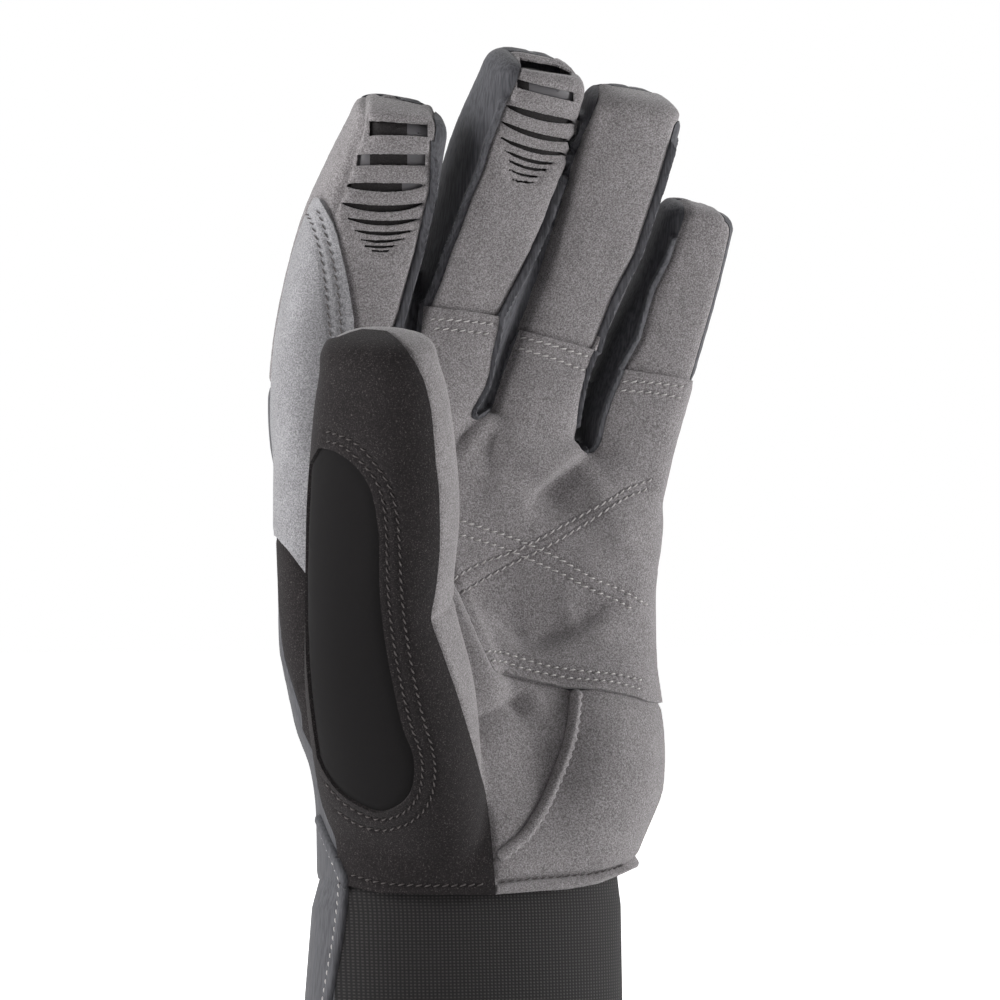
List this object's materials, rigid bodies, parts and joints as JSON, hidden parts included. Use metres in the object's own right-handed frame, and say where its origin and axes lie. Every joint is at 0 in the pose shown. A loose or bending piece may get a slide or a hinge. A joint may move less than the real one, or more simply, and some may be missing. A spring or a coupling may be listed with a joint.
{
  "type": "mountain bike glove",
  "caption": "Left full-finger mountain bike glove with suede palm, slotted fingertips, thumb wiping pad and long knit cuff, open at the wrist.",
  "frame": {"origin": "centre of the wrist opening, in the plane of the cuff's edge", "axes": "+Z from the wrist to the fingertips, +Y out of the back of the hand, +X towards the little finger"},
  "size_m": [0.1184, 0.0975, 0.2546],
  "materials": {
    "suede_grey": "brushed microsuede",
    "suede_pale": "brushed microsuede",
    "suede_black": "brushed microsuede",
    "wipe_pad": "smooth close weave",
    "side_knit": "matt stretch softshell",
    "softshell": "matt stretch softshell",
    "cuff_knit": "fine ribbed knit",
    "cuff_cloth": "matt stretch softshell",
    "grip": "smooth, semi-gloss"
  },
  "bodies": {
    "root": {"thumb_inset": "wipe_pad", "thumb_back": "suede_black", "radial_panel": "suede_pale", "index_strip": "suede_grey", "middle_strip": "suede_grey", "ring_strip": "suede_grey", "little_strip": "suede_grey", "index_side": "suede_grey", "fourchette_index_middle": "side_knit", "fourchette_middle_ring": "side_knit", "fourchette_ring_little": "side_knit", "thumb_palm": "suede_grey", "radial_base": "suede_black", "heel_piping": "suede_grey", "heel_hem": "suede_grey", "thenar_gusset": "suede_grey", "palm_panel": "suede_grey", "heel_panel": "suede_grey", "back_panel": "softshell", "index_grip": "grip", "middle_grip": "grip", "cuff_binding": "cuff_cloth", "cuff_front": "cuff_knit", "cuff_back": "cuff_cloth"}
  },
  "joints": []
}
